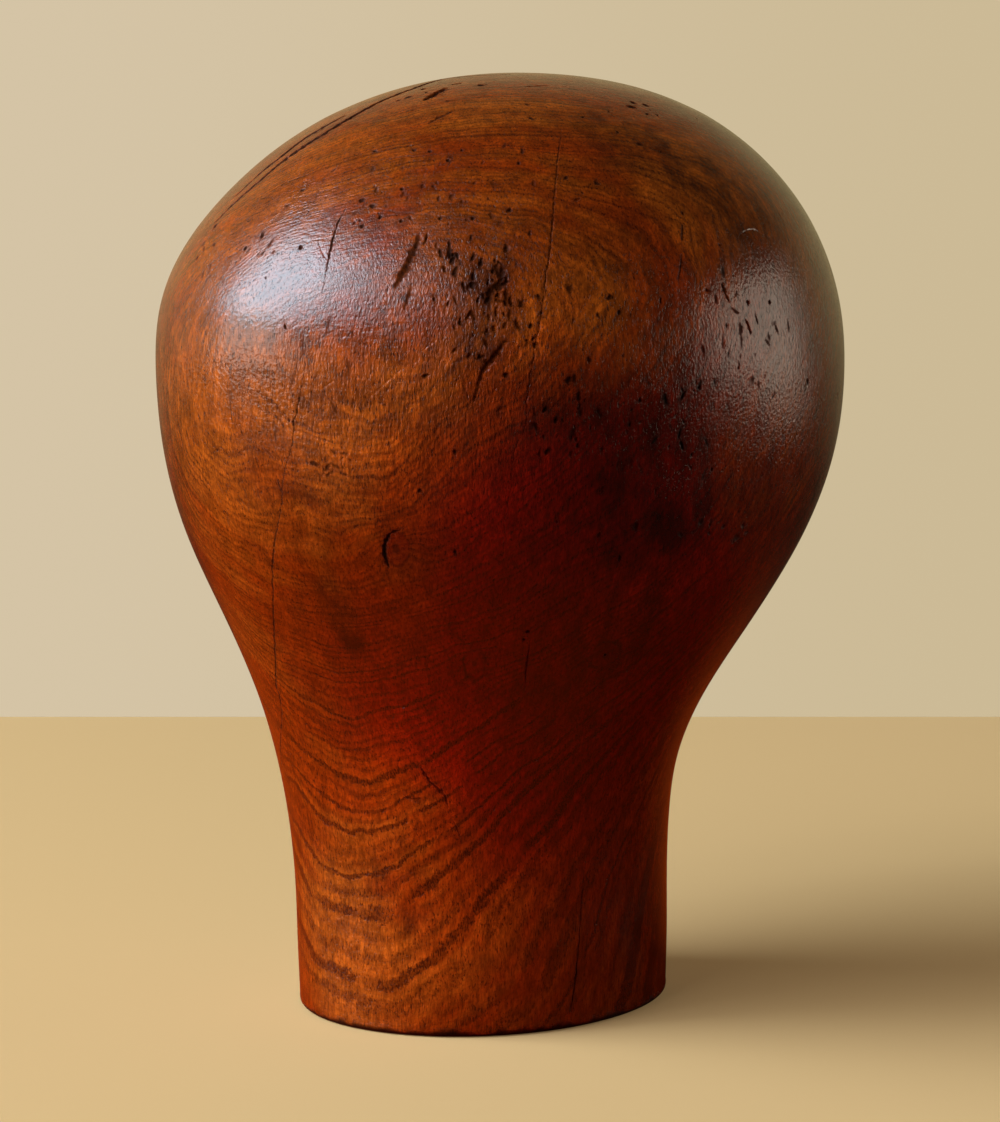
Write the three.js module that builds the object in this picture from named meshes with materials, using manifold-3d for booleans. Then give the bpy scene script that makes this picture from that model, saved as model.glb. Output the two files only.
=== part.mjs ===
// A carved wooden wig block: an egg-shaped head on an oval neck, shaped from one billet,
// with a blind socket bored up into its foot for a bench spindle.
// Millimetres, +Z up. The brow looks along -Y, X runs from ear to ear, and the block is alike on both sides of X = 0.

import * as THREE from 'three';
import { LoftGeometry } from 'three/addons/geometries/LoftGeometry.js';
import { mergeVertices } from 'three/addons/utils/BufferGeometryUtils.js';
import Module from 'manifold-3d';

// Whole block
const blockHeight = 250;

// Flat foot that the block stands on, measured out from the neck's axis
const footFrontReach = 50.5;
const footBackReach = 55.8;
const footSideReach = 45.4;
const footArris = 1.6; // height and depth of the worn edge round the foot

// Throat, where each side of the neck stands upright before it swells into the head
const browThroatReach = 50.7;
const browThroatHeight = 5.7;
const napeThroatReach = 54.4;
const napeThroatHeight = 60.9;
const templeThroatReach = 46.7;
const templeThroatHeight = 24.2;

// Widest places of the head: brow, nape and temples
const browReach = 88.6;
const browHeight = 180.4;
const napeReach = 109.5;
const napeHeight = 170;
const templeReach = 83.4;
const templeHeight = 171.5;

// The head leans back: how far its widest line and the top of its crown lie behind the neck's axis
const templeSetback = 5.1;
const crownSetback = 14.3;

// Socket for the bench spindle, on the neck's axis
const socketDiameter = 25;
const socketDepth = 62;
const socketMouthChamfer = 1.5;
const socketTipSlope = 31; // degrees, the cone that an auger leaves
const cutOverrun = 2;

// How the outlines bend from foot to throat: shares of that rise
const footUprightShare = 0.5;
const throatUprightShare = 0.4;
const footDrawInShare = 0.4; // the part of the draw-in that is done where the foot's upright ends

// Shares of the rise from throat to widest place that start and end upright
const browSwellShares = { start: 0.667, end: 0.444 };
const napeSwellShares = { start: 0.323, end: 0.496 };
const templeSwellShares = { start: 0.487, end: 0.505 };

// Crown shoulder, where the side turns into the top: shares of the reach and of the rise above the widest place
const browShoulderShares = { reach: 0.712, rise: 0.665 };
const napeShoulderShares = { reach: 0.757, rise: 0.687 };
const templeShoulderShares = { reach: 0.742, rise: 0.694 };
const browShoulderSlope = 39; // degrees from level
const napeShoulderSlope = 45.9;
const templeShoulderSlope = 42.7;
const arcHandleShare = 0.357; // a handle's share of its chord, which rounds an arc like a circle's

// Facets
const pointsAround = 80;
const arrisSteps = 3;
const neckSteps = 20;
const crownSteps = 17;
const outlineSteps = 120; // on each of an outline's four curves, before the rings are drawn through it
const socketSides = 40;

// Wood: dark stained and waxed
const woodColour = 0x6b2a12;
const woodRoughness = 0.38;

const radians = THREE.MathUtils.degToRad;

// A point of an outline: how far out from the neck's axis, and how high.
const at = (reach, height) => new THREE.Vector2(reach, height);

// Foot to throat: it leaves the foot upright and reaches the throat upright.
function footCurve(foot, throat) {
  const drawn = THREE.MathUtils.lerp(foot.x, throat.x, footDrawInShare);
  return new THREE.CubicBezierCurve(
    foot,
    at(drawn, throat.y * footUprightShare),
    at(throat.x, throat.y * (1 - throatUprightShare)),
    throat,
  );
}

// Throat to the widest place: upright at both ends.
function swellCurve(throat, widest, shares) {
  const rise = widest.y - throat.y;
  return new THREE.CubicBezierCurve(
    throat,
    at(throat.x, throat.y + rise * shares.start),
    at(widest.x, widest.y - rise * shares.end),
    widest,
  );
}

// The shoulder point of the crown, between the widest place and the top.
function shoulderPoint(widest, top, shares) {
  return at(
    THREE.MathUtils.lerp(top.x, widest.x, shares.reach),
    THREE.MathUtils.lerp(widest.y, top.y, shares.rise),
  );
}

// Widest place to shoulder: it leaves upright and arrives at the shoulder's slope.
function shoulderCurve(widest, shoulder, slope) {
  const handle = widest.distanceTo(shoulder) * arcHandleShare;
  return new THREE.CubicBezierCurve(
    widest,
    at(widest.x, widest.y + handle),
    at(shoulder.x + Math.cos(slope) * handle, shoulder.y - Math.sin(slope) * handle),
    shoulder,
  );
}

// Shoulder to the top of the crown, where it ends level.
function crownCurve(shoulder, top, slope) {
  const handle = shoulder.distanceTo(top) * arcHandleShare;
  return new THREE.CubicBezierCurve(
    shoulder,
    at(shoulder.x - Math.cos(slope) * handle, shoulder.y + Math.sin(slope) * handle),
    at(top.x + handle, top.y),
    top,
  );
}

// One outline of the block from foot to top, as closely spaced points.
function outline({ footReach, throat, widest, top, swellShares, shoulderShares, shoulderSlope }) {
  const shoulder = shoulderPoint(widest, top, shoulderShares);
  const slope = radians(shoulderSlope);
  const curves = [
    footCurve(at(footReach, 0), throat),
    swellCurve(throat, widest, swellShares),
    shoulderCurve(widest, shoulder, slope),
    crownCurve(shoulder, top, slope),
  ];
  return curves.flatMap((curve) => curve.getPoints(outlineSteps));
}

// Seen from the side: the brow's outline in front of the neck's axis and the nape's behind it.
const brow = outline({
  footReach: footFrontReach,
  throat: at(browThroatReach, browThroatHeight),
  widest: at(browReach, browHeight),
  top: at(-crownSetback, blockHeight),
  swellShares: browSwellShares,
  shoulderShares: browShoulderShares,
  shoulderSlope: browShoulderSlope,
});
const nape = outline({
  footReach: footBackReach,
  throat: at(napeThroatReach, napeThroatHeight),
  widest: at(napeReach, napeHeight),
  top: at(crownSetback, blockHeight),
  swellShares: napeSwellShares,
  shoulderShares: napeShoulderShares,
  shoulderSlope: napeShoulderSlope,
});

// Seen from the front: half the block.
const temple = outline({
  footReach: footSideReach,
  throat: at(templeThroatReach, templeThroatHeight),
  widest: at(templeReach, templeHeight),
  top: at(0, blockHeight),
  swellShares: templeSwellShares,
  shoulderShares: templeShoulderShares,
  shoulderSlope: templeShoulderSlope,
});

// How far out an outline lies at a height.
function reachAt(points, height) {
  const above = points.findIndex((point) => point.y >= height);
  if (above < 1) {
    return points.at(above).x;
  }
  const [low, high] = [points[above - 1], points[above]];
  return THREE.MathUtils.mapLinear(height, low.y, high.y, low.x, high.x);
}

// The line down each side of the block, which leans back with the head.
function sideLine(height) {
  const atTemples = templeSetback * THREE.MathUtils.smoothstep(height, templeThroatHeight, templeHeight);
  const furtherBack = crownSetback - templeSetback;
  return atTemples + furtherBack * THREE.MathUtils.smoothstep(height, templeHeight, blockHeight);
}

// One level ring round the block: half an ellipse to the brow's outline and half to the nape's.
function ring(height) {
  const side = sideLine(height);
  const sideReach = reachAt(temple, height);
  const browAhead = reachAt(brow, height) + side;
  const napeBehind = reachAt(nape, height) - side;
  const points = [];
  for (let i = 0; i < pointsAround; i += 1) {
    const turn = (2 * Math.PI * i) / pointsAround;
    const back = Math.sin(turn);
    const reach = back < 0 ? browAhead : napeBehind;
    points.push(new THREE.Vector3(sideReach * Math.cos(turn), side + reach * back, height));
  }
  return points;
}

// The worn edge of the foot: rings that curve in to the underside in a quarter circle.
function arrisRings() {
  const rings = [];
  for (let step = 0; step <= arrisSteps; step += 1) {
    const angle = (Math.PI / 2) * (step / arrisSteps);
    const height = footArris * (1 - Math.cos(angle));
    const inset = footArris * (1 - Math.sin(angle));
    const inward = ({ x, y, z }) => {
      const shrink = 1 - inset / Math.hypot(x, y);
      return new THREE.Vector3(x * shrink, y * shrink, z);
    };
    rings.push(ring(height).map(inward));
  }
  return rings;
}

// Skin of the solid block, foot to crown. The crown's rings draw together like parallels towards a pole.
function blockGeometry() {
  const rings = arrisRings();
  for (let step = 1; step <= neckSteps; step += 1) {
    rings.push(ring(THREE.MathUtils.lerp(footArris, templeHeight, step / neckSteps)));
  }
  for (let step = 1; step < crownSteps; step += 1) {
    const climbed = Math.sin((Math.PI / 2) * (step / crownSteps));
    rings.push(ring(THREE.MathUtils.lerp(templeHeight, blockHeight, climbed)));
  }
  const top = new THREE.Vector3(0, crownSetback, blockHeight);
  rings.push(rings[0].map(() => top));
  return new LoftGeometry(rings, { closed: true, capStart: true });
}

// Cutter for the socket: mouth chamfer, straight bore and the auger's cone.
function socketGeometry() {
  const radius = socketDiameter / 2;
  const tip = radius * Math.tan(radians(socketTipSlope));
  const profile = [
    at(0, -cutOverrun),
    at(radius + socketMouthChamfer + cutOverrun, -cutOverrun),
    at(radius, socketMouthChamfer),
    at(radius, socketDepth),
    at(0, socketDepth + tip),
  ];
  return new THREE.LatheGeometry(profile, socketSides).rotateX(Math.PI / 2);
}

const wasm = await Module();
wasm.setup();

// A closed three.js geometry as a solid that can be cut.
function solid(geometry) {
  const bare = new THREE.BufferGeometry();
  bare.setAttribute('position', geometry.getAttribute('position'));
  bare.setIndex(geometry.index);
  const merged = mergeVertices(bare);
  const mesh = new wasm.Mesh({
    numProp: 3,
    vertProperties: new Float32Array(merged.getAttribute('position').array),
    triVerts: new Uint32Array(merged.index.array),
  });
  return new wasm.Manifold(mesh);
}

// A cut solid back as a three.js geometry.
function geometryOf(cut) {
  const { vertProperties, triVerts } = cut.getMesh();
  const geometry = new THREE.BufferGeometry();
  geometry.setAttribute('position', new THREE.BufferAttribute(vertProperties, 3));
  geometry.setIndex(new THREE.BufferAttribute(triVerts, 1));
  geometry.computeVertexNormals();
  return geometry;
}

const wood = new THREE.MeshStandardMaterial({ color: woodColour, roughness: woodRoughness, metalness: 0 });

// The one piece of the object: the block, with its socket bored on the neck's axis.
function headBlock() {
  const bored = solid(blockGeometry()).subtract(solid(socketGeometry()));
  const mesh = new THREE.Mesh(geometryOf(bored), wood);
  mesh.name = 'head_block';
  return mesh;
}

// The neck stands forward of the head's middle, so the block moves forward to centre the whole length on the origin.
const neckSetForward = (napeReach - browReach) / 2;

const wigBlock = new THREE.Group();
const block = headBlock();
block.position.y = -neckSetForward;
wigBlock.add(block);

export default wigBlock;
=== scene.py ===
"""Dresses a carved wooden wig block: its worn and cracked surface, its waxed figured wood, and its studio.

Everything is in metres in the block's own frame: +Z up, the brow towards -Y, the left temple towards +X.
Marks that the photograph shows are placed by their pixels in its 1000 x 1122 frame and lie on the surface.
"""

import logging
import math
from dataclasses import dataclass, field, fields
from enum import Enum

import bmesh
import bpy
import numpy as np
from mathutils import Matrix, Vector, noise
from mathutils.bvhtree import BVHTree
from mathutils.kdtree import KDTree


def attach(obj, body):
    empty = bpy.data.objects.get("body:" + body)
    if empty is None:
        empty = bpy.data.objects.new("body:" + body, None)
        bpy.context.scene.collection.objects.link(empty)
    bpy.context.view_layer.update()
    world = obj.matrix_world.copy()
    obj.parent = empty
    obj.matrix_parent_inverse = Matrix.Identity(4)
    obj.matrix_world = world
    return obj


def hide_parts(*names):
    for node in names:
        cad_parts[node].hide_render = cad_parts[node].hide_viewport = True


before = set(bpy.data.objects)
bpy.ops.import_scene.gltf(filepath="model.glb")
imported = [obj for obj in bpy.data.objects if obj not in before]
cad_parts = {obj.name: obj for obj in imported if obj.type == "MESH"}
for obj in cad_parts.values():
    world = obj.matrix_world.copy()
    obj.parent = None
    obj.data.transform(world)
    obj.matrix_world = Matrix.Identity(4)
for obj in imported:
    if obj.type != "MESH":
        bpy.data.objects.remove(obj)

log = logging.getLogger("wig_block")

MM = 0.001
BLOCK_NODE = "head_block"
BODY = "root"
WOOD_SLOT = "waxed_wood"
Socket = bpy.types.NodeSocket


@dataclass(frozen=True)
class Viewpoint:
    """Where the photograph was taken from."""

    place: tuple[float, float, float] = (0.8517, -0.7251, 0.2772)
    heading: float = 49.694  # degrees that the view turns from +Y towards -X
    dip: float = 8.076  # degrees that the view looks down
    focal_pixels: float = 4174.4
    image_width: int = 1000
    image_height: int = 1122
    sensor_length: float = 36.0  # millimetres along the image's long side

    def axes(self) -> tuple[Vector, Vector, Vector]:
        """Gives the view's own directions.

        Returns:
            Forward, right and up, as unit vectors.
        """
        heading, dip = math.radians(self.heading), math.radians(self.dip)
        level = Vector((-math.sin(heading), math.cos(heading), 0))
        forward = level * math.cos(dip) - Vector((0, 0, math.sin(dip)))
        right = Vector((math.cos(heading), math.sin(heading), 0))
        return forward, right, right.cross(forward)

    def ray(self, across: float, down: float) -> Vector:
        """Gives the direction in which a pixel looks.

        Args:
            across: Pixels from the image's left edge.
            down: Pixels from its top edge.

        Returns:
            The unit vector from the camera through that pixel.
        """
        forward, right, up = self.axes()
        sideways = right * (across - self.image_width / 2)
        upwards = up * (self.image_height / 2 - down)
        return (forward * self.focal_pixels + sideways + upwards).normalized()

    def add_camera(self) -> None:
        """Adds the scene's camera at this viewpoint."""
        forward, _, _ = self.axes()
        bpy.ops.object.camera_add(location=self.place, rotation=forward.to_track_quat("-Z", "Y").to_euler())
        camera = bpy.context.object
        camera.name = "camera"
        camera.data.sensor_width = self.sensor_length
        camera.data.lens = self.focal_pixels * self.sensor_length / self.image_height
        bpy.context.scene.camera = camera


def select_only(piece: bpy.types.Object) -> None:
    """Makes one object the active one and the only one selected.

    Args:
        piece: That object.
    """
    bpy.ops.object.select_all(action="DESELECT")
    piece.select_set(True)
    bpy.context.view_layer.objects.active = piece


def apply_modifier(piece: bpy.types.Object, kind: str, **settings: object) -> None:
    """Adds a modifier to a piece and applies it.

    Args:
        piece: The object to change.
        kind: Blender's name for the kind of modifier.
        settings: The modifier's own values.
    """
    select_only(piece)
    modifier = piece.modifiers.new(kind.lower(), kind)
    for name, value in settings.items():
        setattr(modifier, name, value)
    bpy.ops.object.modifier_apply(modifier=modifier.name)


def points_of(mesh: bpy.types.Mesh, what: str = "co") -> np.ndarray:
    """Reads a mesh's vertices.

    Args:
        mesh: The mesh to read.
        what: "co" for places or "normal" for normals.

    Returns:
        An array with one row of three numbers for each vertex.
    """
    rows = np.empty(len(mesh.vertices) * 3, np.float32)
    mesh.vertices.foreach_get(what, rows)
    return rows.reshape(-1, 3).astype(float)


def ease(value: np.ndarray) -> np.ndarray:
    """Turns shares from 0 to 1 into a smooth start and end."""
    share = np.clip(value, 0, 1)
    return share * share * (3 - 2 * share)


def lumpiness(points: np.ndarray, size: float) -> np.ndarray:
    """Reads a noise between -1 and 1 at points, with lumps of the given size."""
    return np.array([noise.noise(Vector(point) / size) for point in points])


def tree_of(places: list[np.ndarray] | np.ndarray) -> KDTree:
    """Sorts places so that the nearest is quickly found.

    Args:
        places: The places.

    Returns:
        A tree that gives back their indices.
    """
    tree = KDTree(len(places))
    for index, place in enumerate(places):
        tree.insert(Vector(place), index)
    tree.balance()
    return tree


@dataclass(frozen=True)
class Spot:
    """A place on the block's surface, with the direction that it faces."""

    place: Vector
    facing: Vector


class Skin:
    """The block's smooth surface before it is worn, where marks find their places."""

    def __init__(self, block: bpy.types.Object, viewpoint: Viewpoint) -> None:
        """Takes the surface of a block.

        Args:
            block: The smooth block.
            viewpoint: The view whose pixels name places on it.
        """
        mesh = block.data
        self.viewpoint = viewpoint
        self.normals = [vertex.normal.copy() for vertex in mesh.vertices]
        self.faces = [tuple(face.vertices) for face in mesh.polygons]
        self.corners = [vertex.co.copy() for vertex in mesh.vertices]
        self.tree = BVHTree.FromPolygons(self.corners, self.faces)

    def _spot(self, place: Vector, face: int) -> Spot:
        """Blends the normals of a face's corners at a place on it.

        Args:
            place: The place.
            face: The face's index.

        Returns:
            The place, with the direction that the smooth surface faces there.
        """
        facing = Vector()
        for corner in self.faces[face]:
            facing += self.normals[corner] / ((self.corners[corner] - place).length + 1e-5)
        return Spot(place, facing.normalized())

    def under_pixel(self, across: float, down: float) -> Spot | None:
        """Finds what a pixel of the photograph shows.

        Args:
            across: Pixels from the image's left edge.
            down: Pixels from its top edge.

        Returns:
            The place on the surface, or None where the pixel misses the block.
        """
        origin = Vector(self.viewpoint.place)
        place, _, face, _ = self.tree.ray_cast(origin, self.viewpoint.ray(across, down))
        return None if place is None else self._spot(place, face)

    def at_bearing(self, bearing: float, height: float) -> Spot:
        """Finds the surface seen from outside at a compass bearing and a height.

        Args:
            bearing: Degrees from -Y towards +X.
            height: Height above the foot, in metres.

        Returns:
            The place on the surface.
        """
        turn = math.radians(bearing)
        outward = Vector((math.sin(turn), -math.cos(turn), 0))
        start = outward + Vector((0, 0, height))
        place, _, face, _ = self.tree.ray_cast(start, -outward)
        return self._spot(place, face)


class Cut(Enum):
    """The kinds of groove."""

    SHAKE = "shake"  # a drying crack, narrow with steep sides
    SLASH = "slash"  # a blade's cut, one side steep and the other sloping
    SCORE = "score"  # a scratch, round bottomed

    def depth_at(self, across: np.ndarray) -> np.ndarray:
        """Gives the groove's shape across it.

        Args:
            across: Distances from its middle, in half its width.

        Returns:
            The share of its full depth at each distance.
        """
        if self is Cut.SHAKE:
            return np.clip(1 - np.abs(across), 0, 1) ** 0.6
        if self is Cut.SLASH:
            return ease((across + 1) / 0.6) * np.clip((1 - across) / 1.4, 0, 1)
        return ease(1 - np.abs(across))


@dataclass(frozen=True)
class Raggedness:
    """How a groove strays from a clean cut."""

    wander: float  # of its line, in metres
    waver: float  # of its width along it
    tear: float  # of its edges
    unrest: float  # of its depth
    lip: float  # how high its edge stands, as a share of its depth
    spread: float  # how far out its dirt and painted shade reach, in half its width


DRIED = Raggedness(wander=0.34 * MM, waver=0.9, tear=0.25, unrest=0.2, lip=0.0, spread=2.1)
STRUCK = Raggedness(wander=0.06 * MM, waver=0.5, tear=0.9, unrest=0.6, lip=0.06, spread=1.6)


@dataclass(frozen=True)
class Groove:
    """A crack, cut or scratch that follows a line of pixels."""

    name: str  # its length picks the way in which the line wanders
    cut: Cut
    width: float  # across its mouth where it is widest
    depth: float
    grime: float  # how dark the dirt and painted shade in it are, from 0 to 1
    route: tuple[tuple[float, float, float], ...]  # pixel across, pixel down, share of the width there

    @property
    def raggedness(self) -> Raggedness:
        """Gives what suits its kind."""
        return DRIED if self.cut is Cut.SHAKE else STRUCK


@dataclass(frozen=True)
class Pit:
    """A small hollow: a pin hole, a nick or a lost flake."""

    across: float
    down: float
    length: float  # along the grain
    width: float
    depth: float
    grime: float


@dataclass(frozen=True)
class PitPatch:
    """A crowd of pits scattered round a pixel."""

    across: float
    down: float
    reach_across: float  # pixels from the middle to the crowd's edge
    reach_down: float
    count: int
    length: float
    width: float
    depth: float
    grime: float


class Tint(Enum):
    """What a patch does: the kind of wear, or of painted light and shade, that it changes, and which way."""

    DARK = ("stain", 1)
    # partly painted shade: redder, darker wood over the shaded centre and right
    RED = ("gold", -1)
    # partly painted light: more golden wood where light falls
    GOLD = ("gold", 1)
    # partly the wood's own lightness, partly painted light: brighter where light falls, painted reflection
    # haze near the rims and highlights
    GLOW = ("glow", 1)
    COARSE = ("coarse", 1)


@dataclass(frozen=True)
class Stain:
    """A soft-edged patch of differently coloured wood; some patches are partly painted light and shade."""

    across: float
    down: float
    reach_across: float
    reach_down: float
    strength: float
    tint: Tint


GROOVE_ROWS = {  # name, width and depth in millimetres, grime and painted shade, route
    Cut.SHAKE: (
        ("long_shake", 0.34, 0.4, 1.0, (
            (345, 209, 0.5), (342, 214, 0.3), (338, 222, 1.1), (336, 228, 0.5), (333.5, 236, 1.2),
            (331, 246, 1.1), (329, 256, 0.9), (326, 271, 0.3), (323, 286, 0.25), (320, 301, 0.15),
            (309, 338, 0.1), (304, 370, 0.2), (299, 399, 0.6), (294, 422, 0.7), (292, 443, 0.4),
            (286, 464, 0.4), (282, 484, 0.4), (281.5, 500, 0.45), (279, 517, 0.5), (275, 535, 0.6),
            (273, 552, 0.75), (272, 569, 0.7), (272.5, 592, 0.7), (273, 614, 0.7), (274, 637, 0.75),
            (275.3, 666, 0.75), (276, 687, 0.8), (279, 695, 0.8), (281.5, 712, 0.6), (281, 727, 0.5),
            (280, 746, 0.5), (281.5, 766, 0.3),
        )),
        ("middle_shake", 0.3, 0.35, 0.6, (
            (562, 130, 0.3), (558, 157, 0.8), (555.5, 185, 0.9), (553, 217, 1.0), (550, 251, 1.0),
            (545, 283, 1.0), (541, 318, 1.0), (536, 341, 0.9), (531.5, 370, 0.8), (527, 400, 0.8),
            (525, 428, 0.6), (515, 450, 0.4), (508, 500, 0.4), (503, 545, 0.2),
        )),
        ("crown_shake", 1.25, 1.3, 1.0, (
            (215, 222, 0.3), (236, 201, 0.6), (260, 180, 0.8), (281, 162, 0.9), (307, 144, 1.0),
            (341, 123, 1.0), (367, 108, 0.9), (385, 99, 0.8), (411, 89, 0.8), (438, 80, 0.7),
            (466, 76, 0.5), (510, 74, 0.2),
        )),
        ("crown_strand", 1.2, 1.2, 1.0, (
            (236, 195, 0.3), (262, 171, 0.7), (285, 153, 0.9), (303, 139, 0.9), (323, 127, 0.8),
            (345, 115, 0.4),
        )),
        ("foot_shake", 0.35, 0.5, 0.6, (
            (586, 855, 0.2), (582, 900, 0.6), (579, 945, 0.7), (575, 985, 0.9), (571, 1012, 0.8),
        )),
        ("neck_shake", 0.3, 0.3, 0.5, ((530, 640, 0.3), (528, 655, 0.8), (526, 672, 0.8), (525, 690, 0.2))),
    ),
    Cut.SLASH: (
        ("knot_crescent", 1.0, 0.6, 1.0, (
            (400, 530, 0.3), (391, 533, 0.6), (386.5, 540, 0.9), (384.5, 549, 1.0), (385.5, 558, 0.8),
            (389, 567, 0.4),
        )),
        ("slash_wide", 1.7, 0.6, 0.8, (
            (419, 236, 0.6), (416, 246, 0.9), (409, 261, 1.0), (401, 276, 0.9), (395, 287, 0.4),
        )),
        ("slash_nick", 0.9, 0.5, 0.7, ((427, 234, 0.6), (426, 239, 1.0), (424, 245, 0.5))),
        ("slash_faint", 1.2, 0.35, 0.4, ((411, 284, 0.5), (408, 297, 1.0), (403, 313, 0.4))),
        ("slash_long", 1.3, 0.6, 0.8, (
            (505, 341, 0.4), (498, 351, 1.0), (491, 360, 1.0), (483, 370, 0.9), (479, 382, 0.6),
            (476, 393, 0.6), (472, 405, 0.3),
        )),
        ("gouge_crown", 2.1, 1.1, 1.0, ((425, 99, 0.6), (431, 96, 1.0), (438, 92, 1.0), (445, 88, 0.5))),
        ("gouge_small", 1.0, 0.5, 0.9, ((453, 84, 0.7), (461, 82.5, 0.7))),
        ("gouge_double", 1.2, 0.4, 0.8, ((428, 123, 0.4), (439, 117, 0.9), (452, 111, 0.5))),
        ("slit_right", 0.9, 0.5, 0.9, ((722, 284, 0.5), (725, 292, 1.0), (729, 301, 0.6))),
        ("slit_lower", 0.8, 0.5, 0.9, ((746, 320, 0.5), (749, 327, 1.0), (751, 334, 0.5))),
        ("slit_upright", 0.8, 0.4, 0.8, ((683, 225, 0.5), (683, 232, 1.0), (682, 240, 0.5))),
        ("slit_upright_low", 0.7, 0.4, 0.8, ((682, 255, 0.5), (681, 267, 1.0), (679, 280, 0.6))),
        ("neck_crackle", 0.8, 0.3, 0.7, (
            (421, 768, 0.4), (426, 776, 1.0), (431, 783, 0.6), (438, 789, 1.0), (445, 797, 0.8),
            (448, 807, 0.3),
        )),
    ),
    Cut.SCORE: (
        ("gouge_fine", 0.7, 0.3, 0.7, ((527, 86, 0.5), (537, 85.5, 0.9), (547, 85, 0.4))),
        ("crest_high", 0.5, 0.14, 0.2, (
            (362, 164, 0.3), (390, 158, 0.9), (420, 155, 0.6), (445, 154, 1.0), (482, 155, 0.3),
        )),
        ("crest_middle", 0.5, 0.14, 0.3, (
            (350, 204, 0.3), (372, 208, 1.0), (400, 212, 0.7), (440, 216, 1.0), (480, 224, 0.8),
            (515, 237, 0.3),
        )),
        ("crest_low", 0.5, 0.14, 0.3, (
            (405, 227, 0.3), (430, 228, 0.9), (460, 232, 0.6), (490, 242, 1.0), (512, 256, 0.7),
            (524, 272, 0.3),
        )),
        ("neck_cracklet", 0.7, 0.25, 0.6, ((404, 796, 0.3), (412, 799, 0.9), (421, 798, 0.4))),
        ("neck_crease", 0.6, 0.2, 0.5, ((452, 820, 0.3), (457, 828, 0.9), (460, 838, 0.4))),
        ("score_short", 0.45, 0.18, 0.0, ((436, 340, 0.6), (428, 346, 1.0), (420, 353, 0.5))),
        ("score_long", 0.5, 0.2, 0.0, ((402, 369, 0.8), (392, 377, 1.0), (380, 388, 0.8), (361, 404, 0.4))),
        ("score_left", 0.5, 0.2, 0.0, ((333, 381, 0.8), (327, 385, 1.0), (320, 390, 0.4))),
        ("score_arc", 0.7, 0.25, 0.0, ((740, 236, 0.4), (746, 231, 0.9), (755, 230, 1.0), (765, 236, 0.5))),
        ("score_leaning", 0.5, 0.2, 0.1, ((318, 240, 0.4), (322, 252, 0.8), (329, 262, 0.5))),
    ),
}
GROOVES = tuple(
    Groove(name, cut, width * MM, depth * MM, grime, route)
    for cut, rows in GROOVE_ROWS.items()
    for name, width, depth, grime, route in rows
)
PIN_SCALE = 0.85  # from a pin hole's size as listed to the size that is cut
PIN_DEPTH = 0.5 * MM
# how dark the dirt and painted shade in a pin hole are
PIN_GRIME_AND_SHADE = 0.7
PIN_HOLES = tuple(
    Pit(across, down, length * PIN_SCALE * MM, width * PIN_SCALE * MM, PIN_DEPTH, PIN_GRIME_AND_SHADE)
    for across, down, length, width in (
        (245, 248, 1.5, 1.3), (300, 247, 1.3, 1.2), (285, 327, 1.8, 0.7), (425, 376, 1.6, 1.3),
        (506, 375, 1.6, 1.5), (480, 357, 1.6, 1.6), (450, 256, 1.7, 1.0), (460, 323, 1.8, 1.3),
        (434, 299, 1.9, 0.8), (414, 150, 1.2, 1.3), (430, 151, 1.3, 1.3), (375, 151, 1.0, 1.6),
        (448, 160, 1.3, 1.4), (462, 150, 1.0, 1.0), (519, 163, 1.3, 1.2), (402, 189, 1.2, 1.4),
        (362, 200, 1.6, 1.6), (372, 206, 1.5, 1.9), (510, 210, 1.7, 1.2), (380, 217, 1.4, 1.0),
        (362, 226, 1.3, 1.3), (440, 218, 1.2, 1.2), (473, 218, 1.4, 1.3), (401, 221, 1.2, 1.0),
        (498, 287, 3.4, 3.0), (481, 263, 3.0, 1.4), (453, 255, 1.8, 1.5), (493, 271, 1.8, 1.6),
        (488, 300, 2.6, 1.8), (472, 285, 2.4, 1.6), (506, 303, 1.8, 1.2), (531, 326, 1.6, 1.2),
        (535, 345, 2.0, 1.3), (610, 297, 1.6, 1.8), (620, 312, 1.4, 1.4), (661, 300, 1.6, 1.0),
        (683, 213, 1.4, 0.9), (707, 290, 1.2, 0.9), (748, 302, 1.5, 1.0), (770, 302, 1.1, 0.9),
        (808, 381, 1.6, 1.1), (838, 395, 0.9, 0.6), (420, 491, 1.3, 1.0), (455, 552, 1.2, 1.0),
        (545, 410, 1.6, 1.4), (556, 420, 1.7, 1.2), (547, 452, 2.0, 1.2), (578, 446, 1.8, 0.9),
        (630, 425, 1.3, 1.2), (640, 400, 1.4, 1.0), (287, 205, 1.0, 1.5), (302, 190, 1.0, 1.7),
        (215, 226, 1.6, 1.4), (197, 258, 1.4, 0.9), (262, 235, 1.8, 1.2), (524, 640, 0.9, 0.9),
        (528, 632, 1.0, 1.2), (620, 558, 1.8, 1.0), (605, 655, 0.8, 0.8), (455, 452, 1.6, 1.0),
        (720, 245, 1.0, 0.8), (700, 388, 1.6, 1.1), (712, 470, 1.2, 0.9), (692, 455, 1.1, 0.9),
    )
)
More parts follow.
